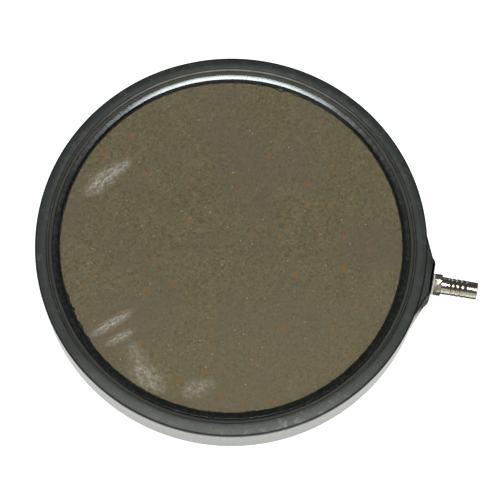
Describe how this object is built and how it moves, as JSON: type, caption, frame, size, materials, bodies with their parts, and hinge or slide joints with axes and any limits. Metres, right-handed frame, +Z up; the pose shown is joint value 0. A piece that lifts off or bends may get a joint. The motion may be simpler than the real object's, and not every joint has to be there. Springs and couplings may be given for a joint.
{
  "type": "air stone",
  "caption": "Round disc air stone: a porous disc in a rubber casing, fed with air through a ribbed hose tail on its side, for ponds and aquariums.",
  "frame": {"origin": "centre of the disc's underside, on the surface it stands on", "axes": "+Z up, out of the stone's face; +X along the hose fitting, away from the disc"},
  "size_m": [0.2309, 0.203, 0.028],
  "materials": {
    "casing_rubber": "moulded, satin, dusty",
    "porous_stone": "bonded grit, rough and matt",
    "gasket_rubber": "smooth, glossy",
    "adhesive": "cured adhesive, dull",
    "sealant": "cured sealant, satin",
    "insert_brass": "turned",
    "washer_plastic": "pale, satin",
    "plated_metal": "nickel plated, bright"
  },
  "bodies": {
    "casing": {"rubber_casing": "casing_rubber", "stone_disc": "porous_stone", "edge_gasket": "gasket_rubber", "seam_adhesive": "adhesive", "bed_adhesive": "adhesive", "edge_sealant": "sealant", "inlet_insert": "insert_brass"},
    "washer": {"sealing_washer": "washer_plastic"},
    "fitting": {"hose_fitting": "plated_metal"}
  },
  "joints": [
    {"name": "fitting_travel", "type": "slide", "parent": "casing", "child": "washer", "axis": [1, 0, 0], "range_m": [0, 0.008]},
    {"name": "fitting_turn", "type": "hinge", "parent": "washer", "child": "fitting", "pos_m": [0.1088, 0, 0.014], "axis": [1, 0, 0], "range_deg": [0, 2880]}
  ],
  "couplings": [
    {"joint": "fitting_turn", "follows": "fitting_travel", "rad_per_m": 6283.2}
  ]
}
